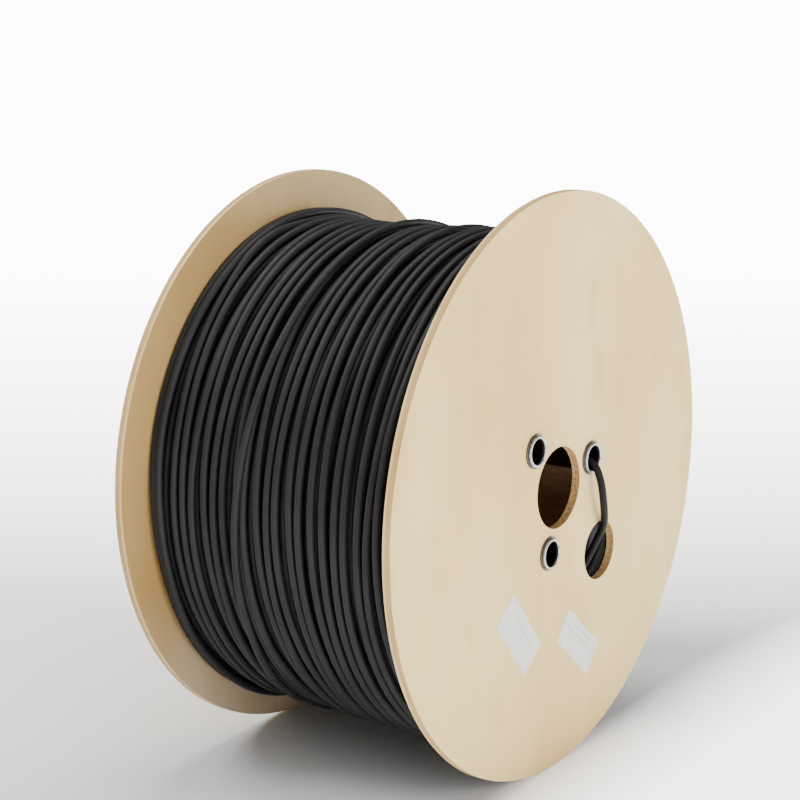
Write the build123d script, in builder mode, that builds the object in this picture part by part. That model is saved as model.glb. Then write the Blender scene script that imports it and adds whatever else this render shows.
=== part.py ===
from build123d import *
import os
from math import cos, dist, pi, radians, sin, tan

# A plywood cable drum, 450 mm across, lying on its rims and wound with 6 mm cable.
# The origin is the middle of the drum: on its axis, halfway between the flanges.
# +X runs along the axis towards the flange with the cable outlet, and +Z is up.
# Millimetres. Angles in a flange's plane run from +Y towards +Z.

# Flanges: two round plywood discs
flange_diameter = 450.0
flange_thickness = 6.5
flange_spacing = 233.0
rim_round = 0.6

# Arbor hole through the middle of both flanges
arbor_diameter = 63.5

# Outlet hole in one flange, where the cable's inner end comes out, just outside the barrel
outlet_diameter = 47.4
outlet_barrel_gap = 1.3
outlet_angle = -45.0

# Barrel that the cable is wound on
barrel_diameter = 136.0
barrel_wall = 5.0

# Tie tubes inside the barrel, clamping the flanges on it, with a rolled lip at each end
tie_count = 3
tie_barrel_gap = 1.6
first_tie_angle = 15.0
tie_diameter = 21.6
tie_wall = 1.0
tie_clearance = 0.25
lip_reach = 1.2
lip_thickness = 2.0
lip_round = 0.85
washer_diameter = 26.6
washer_thickness = 1.2
washer_round = 0.4

# Cable, and the winding of it that fills the drum. Its loose turns hang down a little.
cable_diameter = 6.0
winding_diameter = 399.0
winding_sag = 7.0
winding_clearance = 0.3
turn_pitch = 9.6
turn_relief = 2.4
layer_pitch = 5.9
layer_relief = 1.8
lead_recess_depth = 7.5
lead_recess_width = 36.0

# Paper labels glued on the outlet flange: how far the middle is in from the rim, and its angle
label_thickness = 0.2
left_label = dict(rim_distance=108.9, angle=-118.55, length=65.0, height=30.5, tilt=-50.5)
right_label = dict(rim_distance=87.7, angle=-75.66, length=63.0, height=28.5, tilt=-40.5)

# Route of the cable's inner end: out of the winding, through the outlet, into a tie tube
tail_route = [
    (112.3, 25.5, -96.5),
    (112.3, 42.0, -90.6),
    (112.5, 57.5, -81.5),
    (114.3, 67.4, -70.5),
    (119.7, 69.5, -57.0),
    (127.2, 65.5, -44.0),
    (131.9, 56.7, -32.0),
    (133.7, 51.0, -18.3),
    (133.1, 48.0, -4.2),
    (128.3, 47.5, 7.8),
    (118.2, 47.9, 12.8),
    (108.5, 48.2, 13.7),
]
arc_share = 0.45

inner_face = flange_spacing / 2
outer_face = inner_face + flange_thickness
tie_radius = tie_diameter / 2
tie_circle_radius = barrel_diameter / 2 - barrel_wall - tie_barrel_gap - tie_radius
outlet_circle_radius = barrel_diameter / 2 + outlet_barrel_gap + outlet_diameter / 2
tie_bore_radius = tie_radius - tie_wall
lip_radius = tie_radius + lip_reach
lip_seat = outer_face + washer_thickness
lip_face = lip_seat + lip_thickness


def polar(radius, angle):
    """A place in a flange's plane, from the drum's axis."""
    return (radius * cos(radians(angle)), radius * sin(radians(angle)))


tie_places = [polar(tie_circle_radius, first_tie_angle + 360 * i / tie_count) for i in range(tie_count)]
outlet_place = polar(outlet_circle_radius, outlet_angle)


def make_flange(start, thickness, with_outlet):
    """One plywood disc, extruded away from the winding, with its holes."""
    with BuildPart() as flange:
        with BuildSketch(Plane.YZ.offset(start)):
            Circle(flange_diameter / 2)
            Circle(arbor_diameter / 2, mode=Mode.SUBTRACT)
            with Locations(*tie_places):
                Circle(tie_radius + tie_clearance, mode=Mode.SUBTRACT)
            if with_outlet:
                with Locations(outlet_place):
                    Circle(outlet_diameter / 2, mode=Mode.SUBTRACT)
        extrude(amount=thickness)
        rims = flange.edges().filter_by(GeomType.CIRCLE).group_by(SortBy.RADIUS)[-1]
        fillet(rims, rim_round)
    return flange.part


def make_tie_tube(place):
    """A steel tube through the whole drum, its ends rolled outwards over the washers."""
    section = Plane(origin=(0, *place), x_dir=(1, 0, 0), z_dir=(0, -1, 0))
    lip_width = lip_radius - tie_bore_radius
    with BuildPart() as tube:
        with BuildSketch(section) as profile:
            with Locations((0, tie_radius - tie_wall / 2)):
                Rectangle(2 * lip_face, tie_wall)
            with Locations((lip_face - lip_thickness / 2, lip_radius - lip_width / 2)):
                Rectangle(lip_thickness, lip_width)
            with Locations((lip_thickness / 2 - lip_face, lip_radius - lip_width / 2)):
                Rectangle(lip_thickness, lip_width)
            ends = profile.vertices().group_by(Axis.X)
            fillet(ends[0] + ends[-1], lip_round)
        revolve(axis=Axis((0, *place), (1, 0, 0)))
    return tube.part


def make_washer(place, start, thickness):
    """A flat steel ring between a flange and a tie tube's lip."""
    with BuildPart() as washer:
        with BuildSketch(Plane.YZ.offset(start)):
            with Locations(place):
                Circle(washer_diameter / 2)
                Circle(tie_radius + tie_clearance, mode=Mode.SUBTRACT)
        extrude(amount=thickness)
        outside = washer.edges().filter_by(GeomType.CIRCLE).group_by(SortBy.RADIUS)[-1]
        fillet(outside.sort_by(Axis.X)[-1 if thickness > 0 else 0], washer_round)
    return washer.part


def make_label(rim_distance, angle, length, height, tilt):
    """A thin paper rectangle, flat on the outlet flange."""
    with BuildPart() as label:
        with BuildSketch(Plane.YZ.offset(outer_face)):
            with Locations(polar(flange_diameter / 2 - rim_distance, angle)):
                Rectangle(length, height, rotation=tilt)
        extrude(amount=label_thickness)
    return label.part


def ridges(start, end, pitch, rise):
    """Round ridges along a straight side of the profile, about a pitch apart, standing out by rise."""
    count = round(dist(start, end) / pitch)
    points = [tuple(a + (b - a) * i / count for a, b in zip(start, end)) for i in range(count + 1)]
    for (x0, r0), (x1, r1) in zip(points, points[1:]):
        crest = ((x0 + x1) / 2 + rise[0], (r0 + r1) / 2 + rise[1])
        ThreePointArc((x0, r0), crest, (x1, r1))


# The barrel: a plain tube between the flanges, face to face with both
with BuildPart() as barrel:
    with BuildSketch(Plane.YZ.offset(-inner_face)):
        Circle(barrel_diameter / 2)
        Circle(barrel_diameter / 2 - barrel_wall, mode=Mode.SUBTRACT)
    extrude(amount=flange_spacing)

# The winding: one turned solid, its middle a little below the barrel's, with a bore for the
# barrel. Its turns show as ridges round the outside and on both ends. A recess at the outlet
# end holds the stretch that leads to the outlet hole.
bore_radius = barrel_diameter / 2 + winding_clearance
hidden_radius = bore_radius - 2 * winding_sag
root_radius = winding_diameter / 2 - turn_relief
crest_end = inner_face - winding_clearance
root_end = crest_end - layer_relief
recess_floor = crest_end - lead_recess_depth
recess_radius = bore_radius + lead_recess_width
winding_middle = (0, 0, -winding_sag)
with BuildPart() as winding:
    with BuildSketch(Plane(origin=winding_middle, x_dir=(1, 0, 0), z_dir=(0, -1, 0))):
        with BuildLine():
            ridges((-root_end, hidden_radius), (-root_end, root_radius), layer_pitch, (-layer_relief, 0))
            ridges((-root_end, root_radius), (root_end, root_radius), turn_pitch, (0, turn_relief))
            ridges((root_end, root_radius), (root_end, hidden_radius), layer_pitch, (layer_relief, 0))
            Line((root_end, hidden_radius), (-root_end, hidden_radius))
        make_face()
    revolve(axis=Axis(winding_middle, (1, 0, 0)))
    with BuildSketch(Plane.YZ.offset(-inner_face)):
        Circle(bore_radius)
    extrude(amount=flange_spacing, mode=Mode.SUBTRACT)
    with BuildSketch(Plane.YZ.offset(recess_floor)):
        Circle(recess_radius)
    extrude(amount=lead_recess_depth, mode=Mode.SUBTRACT)

# The cable's inner end: straight runs joined by arcs, as large as the runs allow
corners = [Vector(*point) for point in tail_route]
runs = [b - a for a, b in zip(corners, corners[1:])]
turns = [a.get_angle(b) for a, b in zip(runs, runs[1:])]
radii = [
    arc_share * min(a.length, b.length) / tan(radians(turn) / 2)
    for a, b, turn in zip(runs, runs[1:], turns)
]
with BuildPart() as tail:
    with BuildLine():
        centre_line = FilletPolyline(*tail_route, radius=radii)
    with BuildSketch(Plane(origin=corners[0], z_dir=runs[0])):
        Circle(cable_diameter / 2)
    sweep(path=centre_line)
cable_section = pi * cable_diameter**2 / 4
print("tail arc radii:", [round(radius, 1) for radius in radii])
print("tail length:", round(centre_line.length, 1))
print("tail volume:", round(tail.part.volume), "section times length:", round(cable_section * centre_line.length))

pieces = {
    "flange_outlet": make_flange(inner_face, flange_thickness, True),
    "flange_plain": make_flange(-inner_face, -flange_thickness, False),
    "barrel": barrel.part,
    "cable_winding": winding.part,
    "cable_tail": tail.part,
    "label_left": make_label(**left_label),
    "label_right": make_label(**right_label),
}
for number, place in enumerate(tie_places, start=1):
    pieces[f"tie_tube_{number}"] = make_tie_tube(place)
    pieces[f"washer_outlet_side_{number}"] = make_washer(place, outer_face, washer_thickness)
    pieces[f"washer_plain_side_{number}"] = make_washer(place, -outer_face, -washer_thickness)

os.makedirs("parts", exist_ok=True)
for name, piece in pieces.items():
    piece.label = name
    export_step(piece, f"parts/{name}.step")
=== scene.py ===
from math import cos, radians, sin, tau

import bpy
import numpy as np
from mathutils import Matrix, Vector


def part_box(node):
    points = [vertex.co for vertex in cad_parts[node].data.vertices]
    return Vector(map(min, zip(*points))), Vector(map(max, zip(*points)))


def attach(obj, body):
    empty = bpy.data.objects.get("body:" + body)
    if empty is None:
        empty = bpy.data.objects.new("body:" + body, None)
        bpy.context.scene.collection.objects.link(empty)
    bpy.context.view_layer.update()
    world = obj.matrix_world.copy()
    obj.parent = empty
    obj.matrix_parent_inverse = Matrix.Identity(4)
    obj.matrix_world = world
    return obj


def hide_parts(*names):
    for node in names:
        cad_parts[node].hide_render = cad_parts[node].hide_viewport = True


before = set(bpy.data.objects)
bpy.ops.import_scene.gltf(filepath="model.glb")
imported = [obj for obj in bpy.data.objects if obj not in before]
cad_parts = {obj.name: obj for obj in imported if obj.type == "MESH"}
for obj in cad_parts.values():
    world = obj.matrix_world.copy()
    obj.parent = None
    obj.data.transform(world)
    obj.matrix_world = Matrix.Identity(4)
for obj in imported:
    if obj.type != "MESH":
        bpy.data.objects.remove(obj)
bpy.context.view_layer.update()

# Sizes read from the frame, in metres. The origin is the middle of the drum, +X its axis.
low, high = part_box("flange_outlet")
inner_face = low.x
outer_face = high.x
flange_radius = (high.z - low.z) / 2
low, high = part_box("cable_winding")
winding_half = high.x
winding_radius = (high.z - low.z) / 2
winding_sag = -(high.z + low.z) / 2
floor_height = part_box("flange_outlet")[0].z
barrel_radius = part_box("barrel")[1].z
cable_diameter = 0.006
cable_radius = cable_diameter / 2


def new_mesh(name, vertices, faces, smooth=True):
    """A mesh object from lists of points and faces, linked to the scene."""
    mesh = bpy.data.meshes.new(name)
    mesh.from_pydata([tuple(v) for v in vertices], [], faces)
    mesh.validate()
    mesh.polygons.foreach_set("use_smooth", [smooth] * len(mesh.polygons))
    piece = bpy.data.objects.new(name, mesh)
    bpy.context.scene.collection.objects.link(piece)
    return piece


# Materials. Each is made by one function, from a few node helpers.
def new_material(name):
    """An empty node material with its shader, and a helper object to add nodes with."""
    material = bpy.data.materials.new(name)
    material.use_nodes = True
    nodes = material.node_tree.nodes
    nodes.clear()
    output = nodes.new("ShaderNodeOutputMaterial")
    shader = nodes.new("ShaderNodeBsdfPrincipled")
    material.node_tree.links.new(shader.outputs[0], output.inputs["Surface"])
    return material, Graph(material.node_tree), shader


class Graph:
    """Short names for adding and joining shader nodes."""

    def __init__(self, tree):
        self.tree = tree

    def set(self, socket, value):
        """Joins a node's output to a socket, or gives the socket a plain value."""
        if isinstance(value, bpy.types.NodeSocket):
            self.tree.links.new(value, socket)
        else:
            socket.default_value = value

    def node(self, kind, inputs=(), output=0, **settings):
        """A node with its settings and inputs, by name or number. Returns one of its outputs."""
        node = self.tree.nodes.new("ShaderNode" + kind)
        for key, value in settings.items():
            setattr(node, key, value)
        for key, value in dict(inputs).items():
            self.set(node.inputs[key], value)
        return node.outputs[output]

    def position(self):
        """The point in the drum's frame, in metres."""
        return self.node("TexCoord", output="Object")

    def axes(self):
        """The point's x, y and z."""
        return list(self.node("SeparateXYZ", {0: self.position()}).node.outputs)

    def math(self, operation, *values):
        return self.node("Math", enumerate(values), operation=operation)

    def hypotenuse(self, a, b):
        """The length of a step of a one way and b across it."""
        squares = self.math("ADD", self.math("MULTIPLY", a, a), self.math("MULTIPLY", b, b))
        return self.math("SQRT", squares)

    def stretched(self, scale):
        """The point with each axis scaled, to draw a pattern long in one direction."""
        return self.node("Mapping", {"Vector": self.position(), "Scale": scale})

    def noise(self, scale, detail=4.0, rough=0.55, vector=None):
        """Soft noise about 0.5."""
        inputs = {"Scale": scale, "Detail": detail, "Roughness": rough}
        inputs["Vector"] = self.position() if vector is None else vector
        return self.node("TexNoise", inputs, noise_dimensions="3D")

    def ramp(self, factor, *stops):
        """A colour or grey ramp. Each stop is a place and a colour."""
        node = self.tree.nodes.new("ShaderNodeValToRGB")
        elements = node.color_ramp.elements
        while len(elements) < len(stops):
            elements.new(0.5)
        for element, (place, colour) in zip(elements, stops):
            element.position = place
            element.color = colour if isinstance(colour, tuple) else (colour, colour, colour, 1)
        self.set(node.inputs[0], factor)
        return node.outputs[0]

    def mix(self, factor, a, b, mode="MIX"):
        """Two colours mixed by factor."""
        node = self.tree.nodes.new("ShaderNodeMix")
        node.data_type = "RGBA"
        node.blend_type = mode
        self.set(node.inputs[0], factor)
        self.set(node.inputs[6], a)
        self.set(node.inputs[7], b)
        return node.outputs[2]

    def bump(self, height, distance, strength=1.0):
        inputs = {"Height": height, "Distance": distance, "Strength": strength}
        return self.node("Bump", inputs)


def srgb(red, green, blue):
    """A colour given as it shows on a screen, 0 to 255, as the shader wants it."""
    def linear(value):
        value /= 255
        return value / 12.92 if value <= 0.04045 else ((value + 0.055) / 1.055) ** 2.4
    return (linear(red), linear(green), linear(blue), 1)


def plywood_material(name, outside, inside, edge):
    """Birch plywood: pale veneer on both faces, painted shade and painted light on the inner face,
    plies along the rim and in the holes.
    """
    material, g, shader = new_material(name)
    x, y, z = g.axes()
    depth = g.math("ABSOLUTE", x)
    from_axis = g.hypotenuse(y, z)
    grain = g.noise(1.0, 5, 0.6, g.stretched((40, 130, 9)))
    fibre = g.noise(1.0, 3, 0.7, g.stretched((60, 1500, 35)))
    is_outside = g.math("GREATER_THAN", depth, (inner_face + outer_face) / 2)
    face = g.mix(is_outside, painted_light_inside(g, inside, y, z), outside)
    face = veneer(g, face, grain, y, z)
    ply = plies(g, depth, from_axis, edge)
    normal = g.node("SeparateXYZ", {0: g.node("NewGeometry", output="Normal")}, output=0)
    on_edge = g.math("LESS_THAN", g.math("ABSOLUTE", normal), 0.7)
    surface = g.mix(on_edge, face, ply)
    surface = g.mix(chips(g, depth, from_axis), surface, srgb(142, 104, 66))
    g.set(shader.inputs["Base Color"], surface)
    g.set(shader.inputs["Roughness"], g.ramp(grain, (0.3, 0.60), (0.8, 0.72)))
    shader.inputs["Specular IOR Level"].default_value = 0.3
    g.set(shader.inputs["Normal"], g.bump(fibre, 0.0002, 0.25))
    return material


def painted_light_inside(g, inside, y, z):
    """A flange's inner face, with painted shade that makes it more brown towards -Y, and painted light
    that makes it paler towards the floor.
    """
    across_board = g.math("MULTIPLY_ADD", y, 0.5 / flange_radius, 0.5)
    up_board = g.math("MULTIPLY_ADD", z, 0.5 / flange_radius, 0.5)
    # Painted shade: the inner face is made more brown towards -Y.
    shade_brown = g.mix(1.0, inside, srgb(240, 230, 208), "MULTIPLY")
    shaded_face = g.mix(g.ramp(across_board, (0.08, 1.0), (0.42, 0.0)), inside, shade_brown)
    # Painted light: the inner face is made paler towards the floor.
    return g.mix(g.ramp(up_board, (0.08, 0.9), (0.34, 0.0)), shaded_face, srgb(206, 188, 158))


def veneer(g, face, grain, y, z):
    """A face's veneer: its plain colour with broad clouds, tan blotches, grain and a knot."""
    cloud = g.noise(1.0, 2, 0.5, g.stretched((6, 9, 4)))
    blotch = g.noise(1.0, 2, 0.5, g.stretched((6, 26, 11)))
    darker = g.mix(1.0, face, srgb(240, 226, 204), "MULTIPLY")
    tan = g.mix(1.0, face, srgb(244, 224, 196), "MULTIPLY")
    face = g.mix(g.ramp(cloud, (0.40, 0.0), (0.66, 0.8)), face, darker)
    face = g.mix(g.ramp(blotch, (0.58, 0.0), (0.78, 0.8)), face, tan)
    face = g.mix(g.ramp(grain, (0.45, 0.0), (0.75, 0.25)), face, darker)
    return g.mix(knot(g, y, z), face, srgb(150, 112, 74))


def plies(g, depth, from_axis, edge):
    """The layers that show on the rim, and the rough brown cut in the holes."""
    wobble = g.math("MULTIPLY", g.math("SUBTRACT", g.noise(9.0, 2), 0.5), ply_wobble)
    across = g.math("SUBTRACT", g.math("ADD", depth, wobble), inner_face)
    across = g.math("DIVIDE", across, outer_face - inner_face)
    pale = srgb(228, 206, 158)
    corner_line = srgb(178, 146, 104)
    ply = g.ramp(across, (0.00, pale), (0.26, pale), (0.38, edge), (0.84, edge), (0.92, corner_line))
    streak = g.noise(1.0, 3, 0.6, g.stretched((500, 34, 34)))
    streak = g.ramp(streak, (0.35, srgb(240, 228, 208)), (0.62, srgb(255, 255, 255)))
    ply = g.mix(1.0, ply, streak, "MULTIPLY")
    dark = srgb(108, 76, 44)
    middle = srgb(166, 124, 78)
    light = srgb(192, 154, 106)
    speck = g.ramp(g.noise(560.0, 2, 0.6), (0.38, dark), (0.54, middle), (0.74, light))
    in_hole = g.math("LESS_THAN", from_axis, flange_radius * 0.9)
    return g.mix(in_hole, ply, g.mix(0.75, ply, speck))


def chips(g, depth, from_axis):
    """Mask of the small chips out of the rim's outer corner."""
    chip = g.ramp(g.noise(110.0, 2, 0.5), (0.70, 0.0), (0.74, 0.55))
    reach = g.math("ADD", depth, from_axis)
    corner = g.math("GREATER_THAN", reach, outer_face + flange_radius - chip_reach)
    return g.math("MULTIPLY", chip, corner)


def knot(g, y, z):
    """Mask of one small dark knot at a place on the face, longer along the grain."""
    across = g.math("MULTIPLY", g.math("SUBTRACT", y, knot_place[0]), 1 / knot_size[0])
    along = g.math("MULTIPLY", g.math("SUBTRACT", z, knot_place[1]), 1 / knot_size[1])
    return g.ramp(g.hypotenuse(across, along), (0.35, 0.8), (1.0, 0.0))


def jacket_material(name, dark, light, gloss):
    """Matt black cable jacket, very finely pitted, a little greyer in places."""
    material, g, shader = new_material(name)
    patches = g.noise(22.0, 3, 0.5)
    colour = g.ramp(patches, (0.35, dark), (0.65, light))
    g.set(shader.inputs["Base Color"], colour)
    g.set(shader.inputs["Roughness"], g.ramp(g.noise(90.0, 2), (0.3, 0.50), (0.7, 0.60)))
    shader.inputs["Specular IOR Level"].default_value = gloss
    g.set(shader.inputs["Normal"], g.bump(g.noise(2600.0, 2, 0.6), 0.0001, 0.25))
    return material


def steel_material(name, dull, bright):
    """Galvanised steel with faint mottling and rub marks, with painted shade on all steel at or below
    the flange's outer face.
    """
    material, g, shader = new_material(name)
    depth = g.math("ABSOLUTE", g.axes()[0])
    spangle = g.ramp(g.noise(520.0, 2, 0.5), (0.3, dull), (0.7, bright))
    # Painted shade: steel at or below the flange's outer face goes dark, fading out over the first 0.6
    # mm above it.
    below_face_shade = g.ramp(g.math("SUBTRACT", depth, outer_face), (0.0, 1.0), (0.0006, 0.0))
    spangle = g.mix(splits(g), spangle, srgb(34, 28, 24))
    g.set(shader.inputs["Base Color"], g.mix(below_face_shade, spangle, srgb(58, 50, 44)))
    shader.inputs["Metallic"].default_value = 1.0
    g.set(shader.inputs["Roughness"], g.ramp(g.noise(300.0, 3), (0.3, 0.30), (0.7, 0.46)))
    g.set(shader.inputs["Normal"], g.bump(g.noise(900.0, 2), 0.0001, 0.3))
    return material


def splits(g):
    """Mask of the small dark splits in the rolled lips, on their inner edge."""
    y, z = g.axes()[1:]
    nearest = 1.0
    for centre, angle in lip_splits:
        side = g.math("SUBTRACT", y, centre[0] + split_radius * cos(angle))
        rise = g.math("SUBTRACT", z, centre[1] + split_radius * sin(angle))
        nearest = g.math("MINIMUM", nearest, g.hypotenuse(side, rise))
    return g.ramp(g.math("MULTIPLY", nearest, 1 / split_reach), (0.6, 1.0), (1.0, 0.0))


def board_material():
    """Rough brown board of the barrel."""
    material, g, shader = new_material("barrel_board")
    fibre = g.noise(1.0, 4, 0.7, g.stretched((60, 400, 400)))
    colour = g.ramp(fibre, (0.3, srgb(146, 114, 80)), (0.7, srgb(168, 132, 94)))
    g.set(shader.inputs["Base Color"], colour)
    shader.inputs["Roughness"].default_value = 0.85
    g.set(shader.inputs["Normal"], g.bump(fibre, 0.0004, 0.5))
    return material


def paper_material(name, node, tilt, rules):
    """White gummed paper with faint grey rules. Each rule is how far it lies across the label
    from its middle, and where it starts and ends along it."""
    material, g, shader = new_material(name)
    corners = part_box(node)
    middle = (corners[0] + corners[1]) / 2
    y, z = g.axes()[1:]
    side = g.math("SUBTRACT", y, middle.y)
    rise = g.math("SUBTRACT", z, middle.z)
    along = g.math("MULTIPLY_ADD", side, cos(tilt), g.math("MULTIPLY", rise, sin(tilt)))
    across = g.math("MULTIPLY_ADD", rise, cos(tilt), g.math("MULTIPLY", side, -sin(tilt)))
    ruled = 0.0
    for place, start, end in rules:
        on_line = g.math("COMPARE", across, place, rule_width / 2)
        in_length = g.math("COMPARE", along, (start + end) / 2, (end - start) / 2)
        ruled = g.math("MAXIMUM", ruled, g.math("MULTIPLY", on_line, in_length))
    sheet = g.ramp(g.noise(120.0, 3), (0.3, srgb(188, 191, 184)), (0.7, srgb(198, 201, 194)))
    g.set(shader.inputs["Base Color"], g.mix(ruled, sheet, srgb(154, 156, 148)))
    shader.inputs["Roughness"].default_value = 0.55
    g.set(shader.inputs["Normal"], g.bump(g.noise(1400.0, 2), 0.00005, 0.3))
    return material


# Marks on the wood, the labels and the steel
ply_wobble = 0.0016
chip_reach = 0.0016
knot_place = (0.150, 0.075)
knot_size = (0.0012, 0.0028)
rule_width = 0.0009
left_tilt = radians(-50.5)
right_tilt = radians(-40.5)
left_rules = [(0.005, -0.013, 0.022)]
right_rules = [(0.003, -0.026, 0.026), (0.009, -0.010, 0.018)]
split_radius = 0.0108
split_reach = 0.001
split_angles = {"tie_tube_1": (-15,), "tie_tube_2": (5, -50), "tie_tube_3": (18, -60)}
lip_splits = []
for tube_name, tube_angles in split_angles.items():
    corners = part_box(tube_name)
    middle = (corners[0] + corners[1]) / 2
    lip_splits += [((middle.y, middle.z), radians(angle)) for angle in tube_angles]

birch = srgb(212, 186, 125)
cut_edge = srgb(206, 168, 108)
# The inner faces' darker tan is partly the veneer's own tone and partly painted shade.
outlet_ply = plywood_material("plywood_outlet", birch, srgb(190, 162, 112), cut_edge)
plain_ply = plywood_material("plywood_plain", birch, srgb(190, 162, 110), cut_edge)
jacket = jacket_material("cable_jacket", srgb(31, 30, 32), srgb(39, 38, 39), 0.25)
# A darker, less glossy copy of the cable jacket: painted shade, for the cable's inner end and the end
# turns seen through the outlet hole.
shaded_end_jacket = jacket_material("cable_jacket_end_shaded", srgb(14, 13, 14), srgb(20, 19, 19), 0.12)
steel = steel_material("galvanised_steel", srgb(150, 151, 152), srgb(196, 197, 198))
dull_steel = steel_material("washer_steel", srgb(112, 106, 98), srgb(150, 146, 140))
board = board_material()
left_paper = paper_material("label_paper_left", "label_left", left_tilt, left_rules)
right_paper = paper_material("label_paper_right", "label_right", right_tilt, right_rules)


def dress(piece, material):
    """Gives a piece one material."""
    piece.data.materials.clear()
    piece.data.materials.append(material)


looks = {
    "flange_outlet": outlet_ply,
    "flange_plain": plain_ply,
    "barrel": board,
    "label_left": left_paper,
    "label_right": right_paper,
}
for name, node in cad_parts.items():
    if name.startswith("washer"):
        dress(node, dull_steel)
    elif name.startswith("tie"):
        dress(node, steel)
    elif name in looks:
        dress(node, looks[name])

# Cable winding. Turns are laid one after another over the ones before, layer by layer. Each
# rests on what is under it and stays as taut as its own tension pulls it.
STATIONS = 240
angles = np.arange(STATIONS) * tau / STATIONS
laid_x = []
laid_r = []

# How the turns lie: their gap to the flanges, how deep they hang at each end, how far they may
# rise at a crossing, where they ride up a flange, and how the ends of a helix are tucked in
flange_gap = 0.0003
start_gap = 0.0004
sag_plain_end = 0.0025
sag_outlet_end = 0.0075
crossing_rise = 0.0025
shoulder_width = 0.012
ride_start = 0.12
ride_length = 0.24
tuck_depth = 0.009
tuck_stations = 20
smooth_reach = 7
taut_rounds = 400

# Heights of the layers' turns, from the axis. The top layer lies on a slope along the drum.
core_depth = 0.0170
core_radius = winding_radius - core_depth
under_radius = 0.1858
under_shoulder = 0.1887
top_radius = 0.1920
top_rise = 0.0045
slope_start = -0.055
slope_length = 0.120
shoulder_radius = 0.1945
loose_radius = 0.1970


def wander(rng, place, amount, shared, own):
    """A smooth sideways drift along the cable. place counts turns; whole waves a turn stay alike
    from one turn to the next, and the others make each turn differ from its neighbours."""
    drift = np.zeros_like(place)
    for waves in range(1, 5):
        shift = rng.uniform(-0.12, 0.12)
        phase = rng.uniform(0, tau)
        drift += shared / waves * np.sin(tau * (waves + shift) * place + phase)
    for waves in (0.37, 0.61, 1.43, 2.37, 3.61):
        phase = rng.uniform(0, tau)
        drift += own / max(waves, 1) * np.sin(tau * waves * place + phase)
    return amount * drift


def supports(x):
    """How far out the turns already laid hold a cable whose middle is at x, at each station."""
    if not laid_x:
        return np.zeros_like(x)
    apart = np.abs(np.array(laid_x) - x) / cable_diameter
    lift = np.sqrt(np.clip(1 - apart**2, 0, None)) * cable_diameter
    return np.where(apart < 1, np.array(laid_r) + lift, 0).max(axis=0)


def pull_taut(held, start):
    """The path of a taut cable over the heights that hold it up, from a fixed start."""
    step = tau / STATIONS
    sag = held.mean() * step**2 / 2
    path = held.copy()
    for _ in range(taut_rounds):
        middle = (path[:-2] + path[2:]) / 2 - sag
        path[1:-1] = np.maximum(held[1:-1], middle)
        if start is not None:
            path[0] = start
    return path


def smoothed(values):
    """Values along the cable, evened out over a few stations either way."""
    kernel = np.hanning(2 * smooth_reach + 1)
    kernel /= kernel.sum()
    before = values[:smooth_reach][::-1]
    after = values[-smooth_reach:][::-1]
    return np.convolve(np.concatenate([before, values, after]), kernel, "valid")


def eased(amount, share):
    """Part of an amount, growing softly from none at share 0 to all of it at share 1."""
    return amount * share * share * (3 - 2 * share)


def hang(x):
    """How far the turns at x hang below the drum's axis: least against the plain flange."""
    left = (1 - x / winding_half) / 2
    return sag_plain_end + (sag_outlet_end - sag_plain_end) * (1 - left**8)


def level(radius):
    """The least height of a layer's turns, the same all along the drum."""
    return lambda x: np.full_like(x, radius)


def sloped(x):
    """The least height of the top turns: lower towards the plain flange, where fewer lie."""
    share = np.clip((x - slope_start) / slope_length, 0, 1)
    return top_radius + eased(top_rise, share)


def farthest(x):
    """How far out a turn's middle may lie at each station, so that it stays on the winding."""
    shift = hang(x) - winding_sag
    return winding_radius - cable_radius + crossing_rise + shift * np.sin(angles)


def lay_layer(
    rng, count, lowest_at, from_x, to_x, amount, shared, own, gap, shoulder=0.0, dwell=0.0, ceiling=1.0
):
    """Lays one layer of turns as one helix. Returns its x and radius at every station. A turn
    pressed against a flange rides up it, at least to the shoulder, which the first turn reaches
    bit by bit. The helix stays at each end for as many turns as dwell, and is pressed down to
    the ceiling. Its two ends are tucked in under their neighbours."""
    total = count * STATIONS
    place = np.arange(total) / STATIONS
    limit = winding_half - cable_radius - flange_gap
    share = np.clip((place - dwell) / (count - 2 * dwell), 0, 1)
    x = from_x + (to_x - from_x) * share + wander(rng, place, amount, shared, own)
    x = np.clip(x, -limit, limit)
    direction = 1 if to_x > from_x else -1
    for i in range(STATIONS, total):
        nearest = x[i - STATIONS] + direction * gap
        if direction * (x[i] - nearest) < 0:
            x[i] = nearest
    x = smoothed(np.clip(x, -limit, limit))
    r = np.zeros(total)
    start = None
    for turn in range(count):
        span = slice(turn * STATIONS, (turn + 1) * STATIONS)
        turn_x = x[span]
        lowest = lowest_at(turn_x)
        held = np.maximum(supports(turn_x), lowest)
        pressed = np.clip((np.abs(turn_x) - limit + shoulder_width) / shoulder_width, 0, 1)
        pressed *= np.clip((place[span] - ride_start) / ride_length, 0, 1)
        held = np.maximum(held, lowest + (shoulder - lowest) * pressed)
        held = np.minimum(held, np.minimum(farthest(turn_x), ceiling))
        r[span] = pull_taut(held, start)
        start = r[span][-1]
        laid_x.append(turn_x)
        laid_r.append(r[span])
    from_end = np.minimum(np.arange(total), np.arange(total)[::-1])
    tucked = np.clip(1 - from_end / tuck_stations, 0, 1)
    return x, smoothed(r) - eased(tuck_depth, tucked)


def sagged(points):
    """Lets turns hang below the drum's axis, more so towards the outlet flange."""
    return points - hang(points[..., 0])[..., None] * (0, 0, 1)


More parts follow.
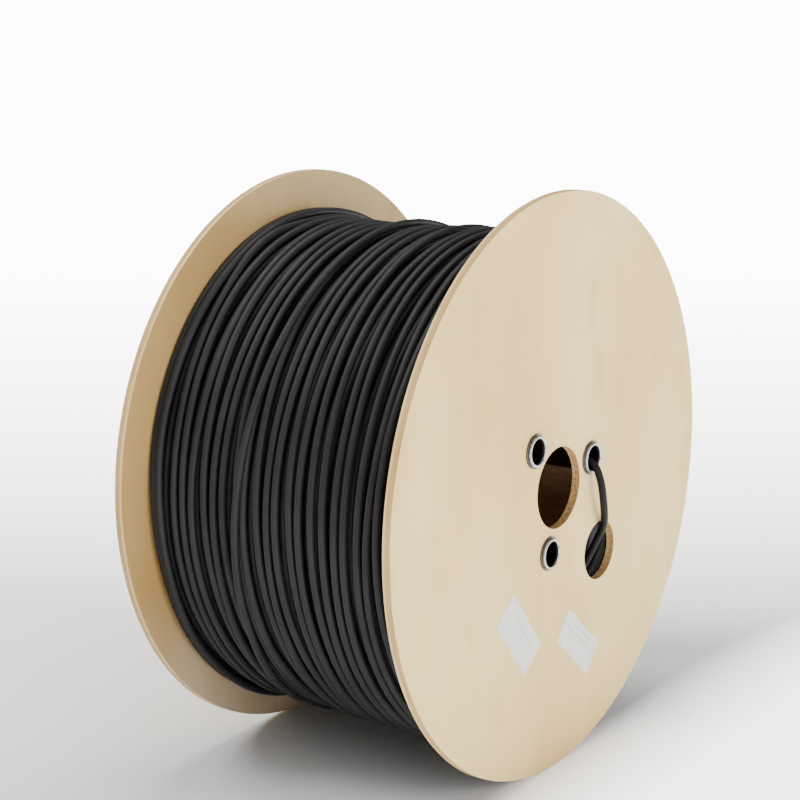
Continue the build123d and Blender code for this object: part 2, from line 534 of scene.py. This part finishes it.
def tube(points, radius, sides):
    """Vertices and faces of a capped tube along points, its sides kept square to its line."""
    points = np.asarray(points)
    along = np.gradient(points, axis=0)
    along /= np.linalg.norm(along, axis=1)[:, None]
    outward = points * (0, 1, 1)
    outward -= (outward * along).sum(1)[:, None] * along
    outward /= np.linalg.norm(outward, axis=1)[:, None]
    sideways = np.cross(along, outward)
    turn = (np.arange(sides) * tau / sides)[None, :, None]
    ring = np.cos(turn) * outward[:, None, :] + np.sin(turn) * sideways[:, None, :]
    vertices = (points[:, None, :] + radius * ring).reshape(-1, 3)
    count = len(points)
    i = np.arange(count - 1)[:, None] * sides
    j = np.arange(sides)[None, :]
    k = (j + 1) % sides
    faces = np.stack([i + j, i + k, i + sides + k, i + sides + j], axis=-1).reshape(-1, 4).tolist()
    faces.append(list(range(sides))[::-1])
    faces.append(list(range((count - 1) * sides, count * sides)))
    return vertices, faces


def helix_piece(name, layers, every, sides):
    """One mesh of several layers' turns, with a point at each so many stations."""
    vertices, faces = [], []
    for x, r in layers:
        keep = np.arange(0, len(x), every)
        angle = keep * tau / STATIONS
        points = np.stack([x[keep], r[keep] * np.cos(angle), r[keep] * np.sin(angle)], axis=1)
        tube_vertices, tube_faces = tube(points, cable_radius, sides)
        tube_vertices = sagged(tube_vertices)
        start = len(vertices)
        vertices.extend(tube_vertices.tolist())
        faces.extend([[start + index for index in face] for face in tube_faces])
    return new_mesh(name, vertices, faces)


# The layer that shows in the gaps, the one on top of it, and one loose turn across the drum
rng = np.random.default_rng(7)
edge = winding_half - cable_radius - start_gap
under = lay_layer(
    rng,
    count=32,
    lowest_at=level(under_radius),
    from_x=edge,
    to_x=-edge,
    amount=0.0010,
    shared=1.0,
    own=0.6,
    gap=0.0061,
    shoulder=under_shoulder,
    dwell=0.9,
)
top = lay_layer(
    rng,
    count=24,
    lowest_at=sloped,
    from_x=-edge,
    to_x=edge,
    amount=0.0022,
    shared=1.1,
    own=0.8,
    gap=0.0058,
    shoulder=shoulder_radius,
    dwell=0.8,
)
loose = lay_layer(
    rng,
    count=1,
    lowest_at=sloped,
    from_x=-0.010,
    to_x=-edge * 0.50,
    amount=0.0030,
    shared=1.2,
    own=0.8,
    gap=0.0060,
    ceiling=loose_radius,
)

pieces = [
    helix_piece("cable_turns_outer", [top, loose], 1, 10),
    helix_piece("cable_turns_inner", [under], 2, 8),
]


def turned(name, outline, steps):
    """A ring turned about the drum's axis from a closed outline of (x, radius) points."""
    vertices, faces = [], []
    count = len(outline)
    for step in range(steps):
        angle = tau * step / steps
        for x, r in outline:
            vertices.append((x, r * cos(angle), r * sin(angle)))
        after = (step + 1) % steps
        for i in range(count):
            j = (i + 1) % count
            faces.append([step * count + i, step * count + j, after * count + j, after * count + i])
    return new_mesh(name, vertices, faces)


# The hidden turns under the layers: a plain ring, clear of the barrel where it hangs deepest
barrel_gap = 0.0003
core_half = winding_half - cable_diameter
core_bore = barrel_radius + barrel_gap + sag_outlet_end
core_outline = [
    (-core_half, core_bore),
    (-core_half, core_radius),
    (core_half, core_radius),
    (core_half, core_bore),
]
core = turned("cable_core", core_outline, 96)
for vertex in core.data.vertices:
    vertex.co.z -= hang(vertex.co.x)
pieces.append(core)

# The end turns that show through the outlet hole, side by side at the flange
side_radius = 0.1092
last_side_radius = 0.130
side_pitch = 0.0061
side_gap = 0.0006
side_wobble = 0.0005
side_vertices, side_faces = [], []
side_rng = np.random.default_rng(3)
ring_angle = np.linspace(0, tau, 145)
while side_radius < last_side_radius:
    phase = side_rng.uniform(0, tau)
    r = side_radius + side_wobble * np.sin(2 * ring_angle + phase)
    x = winding_half - cable_radius - side_gap - side_wobble * np.sin(3 * ring_angle + phase)
    points = np.stack([x, r * np.cos(ring_angle), r * np.sin(ring_angle)], axis=1)
    ring_vertices, ring_faces = tube(points, cable_radius, 10)
    offset = len(side_vertices)
    side_vertices.extend(ring_vertices.tolist())
    side_faces.extend([[offset + i for i in face] for face in ring_faces])
    side_radius += side_pitch
pieces.append(new_mesh("cable_turns_side", side_vertices, side_faces))

for piece in pieces:
    # The end turns in the outlet hole get the jacket's darker copy, painted shade.
    dress(piece, shaded_end_jacket if piece.name == "cable_turns_side" else jacket)
    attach(piece, "root")
    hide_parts("cable_winding")

# The cable's inner end: out of the winding, through the outlet, into a tie tube
tail_route = [
    (0.1123, 0.0255, -0.0965),
    (0.1123, 0.0420, -0.0906),
    (0.1125, 0.0575, -0.0815),
    (0.1143, 0.0674, -0.0705),
    (0.1197, 0.0695, -0.0570),
    (0.1272, 0.0655, -0.0440),
    (0.1319, 0.0567, -0.0320),
    (0.1337, 0.0510, -0.0183),
    (0.1331, 0.0480, -0.0042),
    (0.1283, 0.0475, 0.0078),
    (0.1182, 0.0479, 0.0128),
    (0.1085, 0.0482, 0.0137),
]


def cord_curve(name, route, radius):
    """A round cord on one smooth curve with the route's points as its control points."""
    curve = bpy.data.curves.new(name, "CURVE")
    curve.dimensions = "3D"
    spline = curve.splines.new("NURBS")
    spline.points.add(len(route) - 1)
    for point, place in zip(spline.points, route):
        point.co = (*place, 1)
    spline.order_u = 3
    spline.use_endpoint_u = True
    spline.resolution_u = 12
    curve.bevel_depth = radius
    curve.bevel_resolution = 5
    curve.use_fill_caps = True
    piece = bpy.data.objects.new(name, curve)
    bpy.context.scene.collection.objects.link(piece)
    return piece


tail = cord_curve("cable_inner_end", tail_route, cable_radius)
# The inner end gets the jacket's darker copy, painted shade.
tail.data.materials.append(shaded_end_jacket)
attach(tail, "root")
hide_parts("cable_tail")

# Floor, light and camera
floor_size = 40.0
floor = new_mesh(
    "floor",
    [
        (-floor_size, -floor_size, floor_height),
        (floor_size, -floor_size, floor_height),
        (floor_size, floor_size, floor_height),
        (-floor_size, floor_size, floor_height),
    ],
    [[0, 1, 2, 3]],
    smooth=False,
)


def floor_material(grey, glow_strength):
    """Matt floor that glows softly behind the drum and a little to both sides of it."""
    material, g, shader = new_material("floor")
    shader.inputs["Base Color"].default_value = (grey, grey, grey, 1)
    shader.inputs["Roughness"].default_value = 0.9
    shader.inputs["Emission Color"].default_value = (1, 1, 1, 1)
    behind = {0: g.position(), 1: (-0.56, 0.83, 0.0)}
    how_far = g.node("VectorMath", behind, output=1, operation="DOT_PRODUCT")
    back_glow = g.ramp(g.math("MULTIPLY", how_far, 0.25), (0.05, 0.0), (0.6, 1.0))
    aside = g.math("MULTIPLY_ADD", g.axes()[0], 0.5, 0.5)
    side_glow = g.ramp(aside, (0.25, 0.06), (0.43, 0.0), (0.555, 0.0), (0.61, 0.26))
    glow = g.math("MAXIMUM", back_glow, side_glow)
    g.set(shader.inputs["Emission Strength"], g.math("MULTIPLY", glow, glow_strength))
    return material


dress(floor, floor_material(grey=0.86, glow_strength=12.0))

world_strength = 0.28
world = bpy.data.worlds.new("studio")
bpy.context.scene.world = world
world.use_nodes = True
background = world.node_tree.nodes["Background"]
background.inputs["Color"].default_value = (1, 1, 1, 1)
background.inputs["Strength"].default_value = world_strength


def facing(place, aim):
    """The rotation that points a lamp or a camera at a place towards another."""
    return (Vector(aim) - Vector(place)).to_track_quat("-Z", "Y").to_euler()


def softbox(name, place, size, power):
    """A square area light at a place, facing the middle of the drum."""
    light = bpy.data.lights.new(name, "AREA")
    light.size = size
    light.energy = power
    lamp = bpy.data.objects.new(name, light)
    lamp.location = place
    lamp.rotation_euler = facing(place, (0, 0, 0))
    bpy.context.scene.collection.objects.link(lamp)


softbox("light_front", (0.2, -2.0, 1.9), size=1.8, power=9)
softbox("light_left", (-1.3, -0.9, 1.9), size=1.0, power=36)
softbox("light_right", (2.6, -0.5, 0.7), size=1.6, power=66)
softbox("light_top", (-0.2, 0.3, 2.6), size=1.4, power=50)

camera_place = (0.8625, -1.2902, 0.4071)
camera_target = (-0.02296, 0.0, 0.04918)
camera_data = bpy.data.cameras.new("camera")
camera_data.lens = 91.2
camera_data.sensor_width = 36
camera = bpy.data.objects.new("camera", camera_data)
camera.location = camera_place
camera.rotation_euler = facing(camera_place, camera_target)
bpy.context.scene.collection.objects.link(camera)
bpy.context.scene.camera = camera
